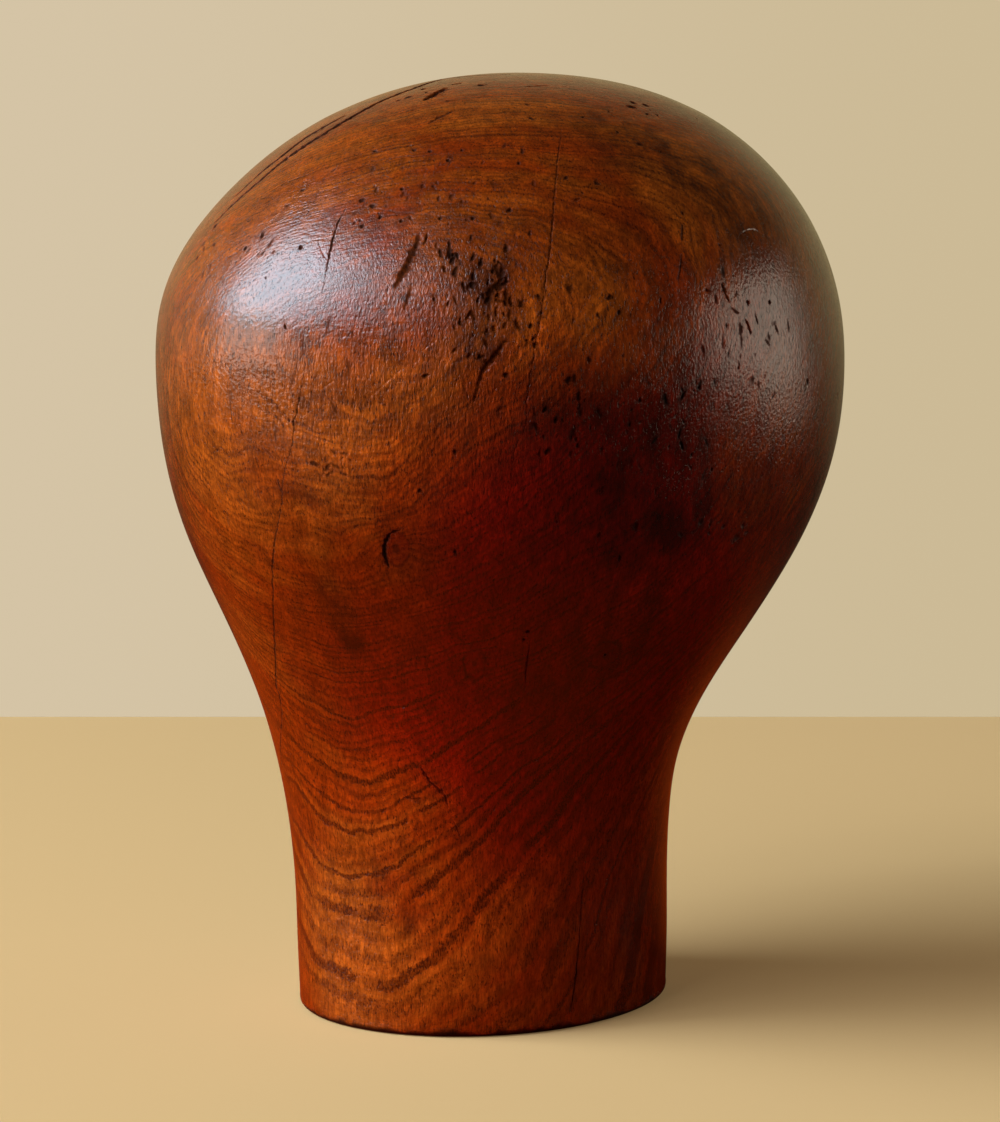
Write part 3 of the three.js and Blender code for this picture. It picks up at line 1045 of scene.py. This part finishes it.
class NodeBench:
    """Adds shader nodes to a tree and joins them."""

    def __init__(self, tree: bpy.types.NodeTree) -> None:
        """Starts on an emptied tree.

        Args:
            tree: The material's or world's node tree.
        """
        self.tree = tree
        tree.nodes.clear()

    def add(self, kind: str, **settings: object) -> bpy.types.Node:
        """Adds a node.

        Args:
            kind: The node's type name without its "ShaderNode" start.
            settings: Its own values.

        Returns:
            The node.
        """
        node = self.tree.nodes.new("ShaderNode" + kind)
        for name, value in settings.items():
            setattr(node, name, value)
        return node

    def feed(self, socket: Socket, value: Input) -> None:
        """Joins an output to an input, or sets the input's value.

        Args:
            socket: The input.
            value: The output or value that it takes.
        """
        if isinstance(value, Value):
            value = value.socket
        if isinstance(value, bpy.types.NodeSocket):
            self.tree.links.new(value, socket)
        elif socket.type == "RGBA" and len(value) == 3:
            socket.default_value = (*value, 1)
        else:
            socket.default_value = value

    def math(self, operation: str, first: Input, second: Input = 0.0) -> Value:
        """Does a sum on numbers.

        Args:
            operation: Blender's name for the sum.
            first: A number.
            second: Another number, where the sum takes two.

        Returns:
            The result.
        """
        node = self.add("Math", operation=operation)
        self.feed(node.inputs[0], first)
        self.feed(node.inputs[1], second)
        return Value(self, node.outputs[0])

    def vector(self, operation: str, first: Input, second: Input = (0, 0, 0), scale: float = 1.0) -> Socket:
        """Does a sum on vectors that gives a vector.

        Args:
            operation: Blender's name for the sum.
            first: A vector.
            second: Another vector, where the sum takes two.
            scale: The factor of a SCALE sum.

        Returns:
            The result.
        """
        node = self.add("VectorMath", operation=operation)
        self.feed(node.inputs[0], first)
        self.feed(node.inputs[1], second)
        self.feed(node.inputs[3], scale)
        return node.outputs[0]

    def measure(self, operation: str, first: Input, second: Input = (0, 0, 0)) -> Value:
        """Does a sum on vectors that gives a number."""
        node = self.vector(operation, first, second).node
        return Value(self, node.outputs[1])

    def noise(
        self, where: Socket, size: float, detail: float = 2.0, roughness: float = 0.5, twist: float = 0.0
    ) -> Value:
        """Reads a noise round 0.5.

        Args:
            where: The vector that it is read at.
            size: How large its lumps are, in the vector's units.
            detail: How many finer layers it has.
            roughness: How strong those are.
            twist: How much it bends itself.

        Returns:
            The noise.
        """
        node = self.add("TexNoise")
        settings = {"Scale": 1 / size, "Detail": detail, "Roughness": roughness, "Distortion": twist}
        self.feed(node.inputs["Vector"], where)
        for name, value in settings.items():
            self.feed(node.inputs[name], value)
        return Value(self, node.outputs["Fac"])

    def swirl(self, where: Socket, size: float, strength: float) -> Socket:
        """Gives vectors that wander round zero.

        Args:
            where: The vector that they are read at.
            size: How far one swirl reaches, in the vector's units.
            strength: How long the vectors are.

        Returns:
            The vectors.
        """
        colour = self.noise(where, size, 1.0).socket.node.outputs["Color"]
        return self.vector("SCALE", self.vector("SUBTRACT", colour, (0.5, 0.5, 0.5)), scale=strength)

    def drawn_out(self, where: Socket, squeeze: float) -> Socket:
        """Squeezes the upright axis, so that a pattern read there is drawn out along it."""
        return self.vector("MULTIPLY", where, (1, 1, squeeze))

    def band(self, value: Input, start: float, end: float, low: float = 0.0, high: float = 1.0) -> Value:
        """Maps a range smoothly to another.

        Args:
            value: The number to map.
            start: Where the range starts.
            end: Where it ends.
            low: What the start becomes.
            high: What the end becomes.

        Returns:
            The mapped number.
        """
        node = self.add("MapRange", interpolation_type="SMOOTHSTEP")
        settings = {"Value": value, "From Min": start, "From Max": end, "To Min": low, "To Max": high}
        for name, number in settings.items():
            self.feed(node.inputs[name], number)
        return Value(self, node.outputs["Result"])

    def mix(self, share: Input, first: Input, second: Input, how: str = "MIX") -> Socket:
        """Mixes two colours.

        Args:
            share: How much of the second colour.
            first: A colour.
            second: A colour.
            how: Blender's name for the way of mixing.

        Returns:
            The mixed colour.
        """
        node = self.add("Mix", data_type="RGBA", blend_type=how)
        self.feed(node.inputs[0], share)
        self.feed(node.inputs[6], first)
        self.feed(node.inputs[7], second)
        return node.outputs[2]

    def bundle(self, first: Input, second: Input = 0.0, third: Input = 0.0) -> Socket:
        """Joins three numbers into a vector.

        Args:
            first: Its X.
            second: Its Y.
            third: Its Z.

        Returns:
            The vector.
        """
        node = self.add("CombineXYZ")
        for socket, value in zip(node.inputs, (first, second, third)):
            self.feed(socket, value)
        return node.outputs[0]

    def split(self, vector: Socket) -> tuple[Value, ...]:
        """Takes a vector apart.

        Args:
            vector: The vector.

        Returns:
            Its X, Y and Z.
        """
        node = self.add("SeparateXYZ")
        self.feed(node.inputs[0], vector)
        return tuple(Value(self, output) for output in node.outputs)

    def attribute(self, name: str) -> Value:
        """Reads one of the mesh's own attributes as a number."""
        return Value(self, self.add("Attribute", attribute_name=name).outputs["Fac"])

    def seen(self) -> Value:
        """Gives 1 where the camera looks straight at the surface, and 0 for its light and reflections."""
        return Value(self, self.add("LightPath").outputs["Is Camera Ray"])


@dataclass(frozen=True)
class Grain:
    """Where a point of the surface lies in the wood. Lengths are in millimetres."""

    bench: NodeBench
    place: Socket
    reach: Value  # from the pith
    year: Value  # whole growth rings out from the pith
    phase: Value  # how far through its ring it is, from 0 to 1
    girth: Value  # X less Y, which runs round the block
    tall: Value  # height above the foot


@dataclass(frozen=True)
class WaxedWood:
    """Old stained elm under wax. Lengths in its pattern are in millimetres."""

    amber: Colour = (0.262, 0.056, 0.0035)
    russet: Colour = (0.176, 0.019, 0.0005)
    # the knots' red hearts, and the dark red of the red patches, which is partly painted shade
    deep_red: Colour = (0.160, 0.004, 0.0003)
    dark_ring: Colour = (0.065, 0.008, 0.0005)
    pore: Colour = (0.025, 0.003, 0.0006)
    # the near black of dirt and painted shade in cracks and pits and along the foot's edge
    grime: Colour = (0.008, 0.003, 0.001)
    stain: Colour = (0.040, 0.004, 0.0006)
    raw_wood: Colour = (0.200, 0.105, 0.050)
    late_glow: Colour = (1.25, 1.3, 1.2)  # how much brighter a ring's late wood is
    red_glow: float = 1.06  # how much brighter red is than the rest
    pith_height: float = 100.0  # where the pith is measured
    pith_at_middle: tuple[float, float] = (-14.0, 42.5)  # where the log's centre is, at that height
    pith_lean: tuple[float, float] = (-24.0, 13.0)  # how far it moves in 100 mm of height
    pith_bow: tuple[float, float] = (-12.0, -15.0)
    # the size and the strength of each wandering of the rings
    swirls: tuple[tuple[float, float], ...] = ((52.0, 9.0), (15.0, 2.4), (5.5, 0.9), (1.8, 0.2))
    wide_ring: float = 4.5  # ring width near the pith
    narrowing: float = 0.0071  # how fast rings narrow outwards
    narrow_from: float = 70.0
    early_strength: float = 0.62  # from here on, how much of each colour shows where it is strongest
    late_strength: float = 0.35
    tier_strength: float = 0.22
    pore_strength: float = 0.70
    fine_pore_strength: float = 0.36
    stain_strength: float = 0.85
    raw_strength: float = 0.75
    bump_strength: float = 0.8
    mirror_level: float = 0.65

    def material(self, knots: dict[str, Spot]) -> bpy.types.Material:
        """Makes the finish.

        Args:
            knots: Where each knot lies.

        Returns:
            The material.
        """
        material = bpy.data.materials.new(WOOD_SLOT)
        material.use_nodes = True
        grain = self._grain(NodeBench(material.node_tree), knots)
        colour, height = self._figure(grain)
        self._surface(grain, self._knots(grain, colour, knots), height)
        return material

    def _grain(self, bench: NodeBench, knots: dict[str, Spot]) -> Grain:
        """Measures out from the log's wandering centre and counts the growth rings.

        Args:
            bench: What adds the nodes.
            knots: Where each knot lies.

        Returns:
            Where each point lies in the wood.
        """
        place = bench.vector("SCALE", bench.add("TexCoord").outputs["Object"], scale=1 / MM)
        x, y, tall = bench.split(place)
        rise = (tall - self.pith_height) / 100.0
        offsets = (
            value - ((rise * bow + lean) * rise + middle)
            for value, bow, lean, middle in zip((x, y), self.pith_bow, self.pith_lean, self.pith_at_middle)
        )
        bent = bench.bundle(*offsets)
        for size, strength in self.swirls:
            bent = bench.vector("ADD", bent, bench.swirl(place, size, strength))
        reach = bench.measure("LENGTH", bench.vector("MULTIPLY", bent, (1, 1, 0)))
        for knot in KNOTS:
            away = bench.measure("DISTANCE", place, tuple(knots[knot.name].place / MM)) / (knot.width / MM)
            reach = bench.math("EXPONENT", away * away * -1.0) * (-knot.bulge / MM) + reach
        beyond = bench.math("MAXIMUM", reach - self.narrow_from, 0.0)
        even = reach * (1 / self.wide_ring) + beyond * beyond * self.narrowing
        years = bench.noise(bench.bundle(reach), 5.5, 1.0)
        rings = (years - 0.5) * 2.4 + even + bench.noise(place, 70.0, 0.0)
        return Grain(bench, place, reach, bench.math("FLOOR", rings), bench.math("FRACT", rings), x - y, tall)

    def _figure(self, grain: Grain) -> tuple[Socket, Value]:
        """Colours the wood by its rings, pores and fibres.

        Args:
            grain: Where each point lies in the wood.

        Returns:
            The colour, and the height of its relief in millimetres.
        """
        bench, phase = grain.bench, grain.phase
        early = self._early_wood(grain)
        late = bench.band(phase, 0.45, 0.6) * bench.band(phase, 0.9, 0.7)
        colour = bench.mix(early * self.early_strength, self._tones(grain), self.dark_ring)
        lighter = bench.mix(1.0, colour, self.late_glow, "MULTIPLY")
        colour = bench.mix(late * self.late_strength, colour, lighter)
        pores, fine = self._pores(grain, early)
        tiers = self._tiers(grain)
        colour = bench.mix(tiers * self.tier_strength, colour, self.dark_ring)
        colour = bench.mix(fine * self.fine_pore_strength, colour, self.pore)
        colour = bench.mix(pores * self.pore_strength, colour, self.pore)
        ridges = bench.noise(bench.bundle(grain.reach, grain.girth * 0.6, grain.tall * 0.6), 0.6, 1.0)
        relief = ridges * 0.13 - tiers * 0.008 - early * 0.012 - fine * 0.012 - pores * 0.03
        return colour, relief

    def _early_wood(self, grain: Grain) -> Value:
        """Finds the dark, porous start of each year's ring, bolder in some years and places.

        Args:
            grain: Where each point lies in the wood.

        Returns:
            How dark it is, from 0 to about 1.
        """
        bench, place = grain.bench, grain.place
        boldness = bench.noise(bench.bundle(grain.year * 0.61, 0.0, 4.0), 1.0, 0.0)
        patchy = bench.noise(place, 13.0)
        bold = bench.band(boldness, 0.40, 0.60, 0.30, 1.0) * bench.band(patchy, 0.30, 0.50, 0.1, 1.0)
        edge = (bench.noise(place, 1.6, 2.0, 0.7) - 0.5) * 0.75 + grain.phase
        grit = bench.noise(bench.drawn_out(place, 1.4), 0.9, 1.0)
        early = bench.band(edge, 0.0, 0.18) * bench.band(edge, 0.66, 0.40)
        low = bench.band(grain.tall, 135.0, 70.0, 0.6, 1.1)
        return early * bench.band(grit, 0.34, 0.6, 0.8, 1.1) * (bold * low)

    def _tones(self, grain: Grain) -> Socket:
        """Lays the wood's cloudy ground colour, its year bands and its lengthwise streaks, with patches that
        are partly painted light and shade.

        Args:
            grain: Where each point lies in the wood.

        Returns:
            The colour.
        """
        bench, place, tall = grain.bench, grain.place, grain.tall
        # golden patches above 0 and redder ones below: partly the wood's own, partly painted light on the lit
        # side and painted shade on the shaded side
        gold = bench.attribute("gold")
        flow = bench.noise(bench.bundle(grain.reach * 0.5, grain.year * 0.13), 1.6)
        blend = flow * 0.4 + bench.noise(place, 26.0, 3.0, 0.6) * 0.6
        blend = gold + bench.band(blend, 0.34, 0.66, -0.1, 0.55)
        colour = bench.mix(bench.band(blend, 0.0, 1.0), self.russet, self.amber)
        colour = bench.mix(bench.band(gold, -0.05, -0.45), colour, self.deep_red)
        streak = bench.noise(bench.drawn_out(place, 0.05), 1.2, 3.0, 0.65)
        fleck = bench.noise(bench.drawn_out(place, 0.5), 4.0, 5.0, 0.72)
        fibre = bench.noise(bench.drawn_out(place, 0.22), 0.62, 2.0, 0.6, twist=0.5)
        shade = bench.band(streak, 0.25, 0.75, 0.9, 1.1) * bench.band(fleck, 0.32, 0.68, 0.70, 1.26)
        shade = shade * bench.band(fibre, 0.3, 0.7, 0.72, 1.32)
        lines = bench.noise(bench.bundle(grain.reach, grain.girth * 0.10, tall * 0.10), 1.15, 3.0, 0.62)
        calm = bench.band(gold, -0.45, 0.0, 0.3, 1.0) * bench.band(tall, 60.0, 110.0, 0.6, 1.0)
        shade = shade * (bench.band(lines, 0.30, 0.70, -0.21, 0.21) * calm + 1.0)
        # brighter or darker patches, partly painted light and painted reflection haze
        shade = shade * (bench.attribute("glow") + 1.0)
        return bench.mix(1.0, colour, bench.bundle(shade * self.red_glow, shade, shade), "MULTIPLY")

    def _pores(self, grain: Grain, early: Value) -> tuple[Value, Value]:
        """Opens the wood's pores along its wavy fibres.

        Args:
            grain: Where each point lies in the wood.
            early: How much each point belongs to a dark ring.

        Returns:
            The coarse pores, crowded in the dark rings, and the fine ones all over.
        """
        bench = grain.bench
        fibres = bench.add("Mapping")
        fibres.inputs["Rotation"].default_value = (math.radians(4), math.radians(5), 0)
        bent = bench.vector("ADD", grain.place, bench.swirl(grain.place, 17.0, 5.0))
        bench.feed(fibres.inputs["Vector"], bent)
        coarse = bench.noise(bench.drawn_out(fibres.outputs[0], 0.22), 0.36, 1.0)
        thin = bench.noise(bench.drawn_out(fibres.outputs[0], 0.06), 0.27, 1.0)
        return bench.band(early * 0.13 + coarse, 0.62, 0.72), bench.band(thin, 0.58, 0.72)

    def _tiers(self, grain: Grain) -> Value:
        """Draws the fine zigzag lines that run between the rings.

        Args:
            grain: Where each point lies in the wood.

        Returns:
            How strong the lines are, from 0 to 1.
        """
        bench = grain.bench
        steps = bench.noise(grain.place, 1.9, 1.0) * 1.5 + grain.reach / 1.05
        lines = bench.band(bench.math("PINGPONG", steps, 0.5), 0.16, 0.06)
        return lines * bench.band(bench.noise(grain.place, 3.2, 1.0), 0.46, 0.66)

    def _knots(self, grain: Grain, colour: Socket, knots: dict[str, Spot]) -> Socket:
        """Gives each knot its redder heart and dark outline.

        Args:
            grain: Where each point lies in the wood.
            colour: The wood's colour without them.
            knots: Where each knot lies.

        Returns:
            The colour with them.
        """
        bench, place = grain.bench, grain.place
        wobble = (bench.noise(place, 3.0) - 0.5) * 0.7
        patchy = bench.band(bench.noise(place, 5.0, 0.0), 0.35, 0.6, 0.35, 1.0)
        for knot in KNOTS:
            offset = bench.vector("SUBTRACT", place, tuple(knots[knot.name].place / MM))
            half = (knot.width / MM / 2, knot.width / MM / 2, knot.height / MM / 2)
            radius = wobble + bench.measure("LENGTH", bench.vector("DIVIDE", offset, half))
            outline = bench.band(radius, 0.78, 0.94) * bench.band(radius, 1.2, 1.0)
            colour = bench.mix(bench.band(radius, 1.1, 0.9, 0.0, 0.4), colour, self.deep_red)
            colour = bench.mix(bench.band(radius, 0.30, 0.10, 0.0, 0.6), colour, self.pore)
            colour = bench.mix(outline * patchy * 0.7, colour, self.pore)
        return colour

    def _surface(self, grain: Grain, colour: Socket, height: Value) -> None:
        """Adds dirt and painted shade, stains, bare wood and the waxed gloss.

        Args:
            grain: Where each point lies in the wood.
            colour: The wood's colour.
            height: The height of its relief in millimetres.
        """
        bench, place = grain.bench, grain.place
        grime, stain, raw, coarse = (bench.attribute(name) for name in ("grime", "stain", "raw", "coarse"))
        smoky = bench.noise(bench.drawn_out(place, 0.55), 9.0, 5.0, 0.68)
        darkened = stain * bench.band(smoky, 0.36, 0.62, 0.35, 1.5) + bench.band(smoky, 0.52, 0.74, 0.0, 0.3)
        darkened = bench.math("MINIMUM", darkened, 1.0)
        colour = bench.mix(darkened * self.stain_strength, colour, self.stain)
        # painted shade and dirt in cracks, pits and along the foot's edge
        colour = bench.mix(grime, colour, self.grime)
        colour = bench.mix(raw * self.raw_strength, colour, self.raw_wood)
        peel = bench.noise(bench.drawn_out(place, 0.38), 0.75)
        ripple = bench.noise(bench.drawn_out(place, 0.3), 2.2)
        wrinkle = bench.noise(bench.drawn_out(place, 0.34), 0.64, 2.0, 0.55, twist=0.35)
        bump = bench.add("Bump")
        bench.feed(bump.inputs["Distance"], MM)
        bench.feed(bump.inputs["Strength"], self.bump_strength)
        bench.feed(bump.inputs["Height"], wrinkle * coarse * 0.27 + (ripple * 0.05 + (peel * 0.035 + height)))
        gloss = coarse * 0.06 + bench.band(bench.noise(place, 9.0, 3.0), 0.3, 0.7, 0.17, 0.23)
        shader = bench.add("BsdfPrincipled")
        bench.feed(shader.inputs["Base Color"], colour)
        bench.feed(shader.inputs["Roughness"], bench.math("MAXIMUM", grime, raw) * 0.6 + gloss)
        bench.feed(shader.inputs["Normal"], bump.outputs[0])
        # no reflection where dirt and painted shade fill the hollows
        unmirrored = bench.mix(bench.band(grime, 0.0, 0.45), (1.0, 1.0, 1.0), (0.0, 0.0, 0.0))
        bench.feed(shader.inputs["Specular Tint"], unmirrored)
        bench.feed(shader.inputs["Specular IOR Level"], self.mirror_level)
        bench.feed(bench.add("OutputMaterial").inputs["Surface"], shader.outputs[0])


@dataclass(frozen=True)
class Window:
    """A soft light, placed by the direction that the block's surface mirrors it from."""

    name: str
    bearing: float  # degrees from -Y towards +X
    rise: float  # degrees above the horizon
    width: float
    height: float
    brightness: float  # radiance, where 1 is white
    colour: Colour
    mirrored: bool = True  # whether the wax mirrors it
    distance: float = 3.0
    aim_height: float = 0.16


@dataclass(frozen=True)
class Studio:
    """The pale floor, the cream surroundings and the soft lights."""

    floor_colour: Colour = (0.62, 0.40, 0.18)
    floor_lift: float = 0.18  # what keeps the block's shadow on it soft
    floor_size: tuple[float, float] = (4.0, 2.4)  # across the view and along it
    floor_bounce: Colour = (0.44, 0.050, 0.004)  # the warm light that the floor throws back on the block
    bounce_middle: tuple[float, float, float] = (-0.12, -0.02, 0.0)  # where on the floor it is strongest
    bounce_reach: tuple[float, float] = (0.18, 0.45)  # between these distances it dies away
    wall_colour: Colour = (0.665, 0.552, 0.381)
    wall_shade: Colour = (0.604, 0.491, 0.305)  # the wall's right side, away from the window
    wall_bounce: Colour = (0.48, 0.39, 0.19)  # the wall as the wax mirrors it
    room_bounce: Colour = (0.022, 0.017, 0.010)  # the dim room on the camera's side
    floor_behind: float = 0.42  # from the block to the floor's far edge, as the photograph shows its table
    windows: tuple[Window, ...] = (
        Window("left_window", -34, 36, 1.75, 2.0, 11.2, (0.71, 0.86, 1.0)),
        Window("left_curtain", -8, 37, 0.95, 1.9, 5.3, (0.76, 0.87, 1.0)),
        Window("curtain_edge", 13, 38, 1.2, 1.7, 2.9, (0.84, 0.90, 1.0)),
        Window("left_sill", -29, 6, 2.0, 1.1, 3.4, (1.0, 0.94, 0.86)),
        Window("left_wall", -62, 10, 2.2, 1.8, 0.45, (1.0, 0.85, 0.55)),
        Window("right_window", 152, 4, 1.8, 1.35, 2.0, (1.0, 0.84, 0.66)),
        Window("warm_fill", -5, -4, 2.8, 0.6, 3.0, (1.0, 0.25, 0.03), mirrored=False),
    )

    def build(self, viewpoint: Viewpoint) -> None:
        """Makes the floor, the surroundings and the lights.

        Args:
            viewpoint: The photograph's view, whose way the room lies.
        """
        self._floor(viewpoint)
        self._surroundings(viewpoint)
        for window in self.windows:
            self._light(window)

    def _floor(self, viewpoint: Viewpoint) -> None:
        """Lays the floor, with its far edge square to the view.

        Args:
            viewpoint: The photograph's view.
        """
        forward, right, _ = viewpoint.axes()
        away = Vector((forward.x, forward.y, 0)).normalized()
        width, depth = self.floor_size
        middle = away * (self.floor_behind - depth / 2)
        bpy.ops.mesh.primitive_plane_add(size=1)
        floor = bpy.context.object
        floor.name = "floor"
        for vertex in floor.data.vertices:
            vertex.co = middle + right * (vertex.co.x * width) + away * (vertex.co.y * depth)
        material = bpy.data.materials.new("floor")
        material.use_nodes = True
        bench = NodeBench(material.node_tree)
        seen = bench.seen()
        reach = bench.measure("DISTANCE", bench.add("TexCoord").outputs["Object"], self.bounce_middle)
        bounce = bench.mix(bench.band(reach, *self.bounce_reach), self.floor_bounce, self.room_bounce)
        shader = bench.add("BsdfPrincipled")
        bench.feed(shader.inputs["Base Color"], bench.mix(seen, bounce, self.floor_colour))
        bench.feed(shader.inputs["Emission Color"], self.floor_colour)
        bench.feed(shader.inputs["Emission Strength"], seen * self.floor_lift)
        bench.feed(shader.inputs["Roughness"], 1.0)
        bench.feed(shader.inputs["Specular IOR Level"], 0.0)
        bench.feed(bench.add("OutputMaterial").inputs["Surface"], shader.outputs[0])
        floor.data.materials.append(material)

    def _surroundings(self, viewpoint: Viewpoint) -> None:
        """Paints the room: cream behind the block and dim on the camera's side.

        Args:
            viewpoint: The photograph's view.
        """
        world = bpy.data.worlds.new("room")
        bpy.context.scene.world = world
        world.use_nodes = True
        bench = NodeBench(world.node_tree)
        away, right, _ = viewpoint.axes()
        look = bench.add("TexCoord").outputs["Generated"]
        axes = (tuple(away), tuple(right), (0, 0, 1))
        facing, side, rise = (bench.measure("DOT_PRODUCT", look, axis) for axis in axes)
        level = bench.band(rise, 0.6, 0.2, 0.3, 1.0) * bench.band(rise, -0.24, 0.04)
        share = bench.band(facing, 0.5, 0.85) * level * bench.band(side, 0.0, 0.6, 1.0, 0.75)
        bounce = bench.mix(share, self.room_bounce, self.wall_bounce)
        wall = bench.mix(bench.band(side, -0.13, 0.13), self.wall_colour, self.wall_shade)
        background = bench.add("Background")
        bench.feed(background.inputs["Color"], bench.mix(bench.seen(), bounce, wall))
        bench.feed(bench.add("OutputWorld").inputs["Surface"], background.outputs[0])

    def _light(self, window: Window) -> None:
        """Hangs one soft light.

        Args:
            window: Its place, size and brightness.
        """
        turn, rise = math.radians(window.bearing), math.radians(window.rise)
        outward = Vector((math.sin(turn) * math.cos(rise), -math.cos(turn) * math.cos(rise), math.sin(rise)))
        aim = Vector((0, 0, window.aim_height))
        place = aim + outward * window.distance
        turned = outward.to_track_quat("Z", "Y").to_euler()
        bpy.ops.object.light_add(type="AREA", location=place, rotation=turned)
        lamp = bpy.context.object
        lamp.name = window.name
        lamp.visible_camera = False
        lamp.visible_glossy = window.mirrored
        lamp.data.shape = "RECTANGLE"
        lamp.data.size, lamp.data.size_y = window.width, window.height
        lamp.data.energy = window.brightness * math.pi * window.width * window.height
        lamp.data.color = window.colour


def main() -> None:
    """Builds the block, its finish and its studio."""
    logging.basicConfig(level=logging.INFO, format="%(name)s: %(message)s")
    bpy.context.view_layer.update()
    viewpoint = Viewpoint()
    viewpoint.add_camera()
    head = HeadBlock(viewpoint)
    block = head.build()
    block.data.materials.append(WaxedWood().material(head.spots))
    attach(block, BODY)
    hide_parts(BLOCK_NODE)
    log.info("wig_block: %d triangles", sum(len(face.vertices) - 2 for face in block.data.polygons))
    Studio().build(viewpoint)
    bpy.context.scene.view_settings.view_transform = "Standard"


if __name__ == "__main__":
    main()
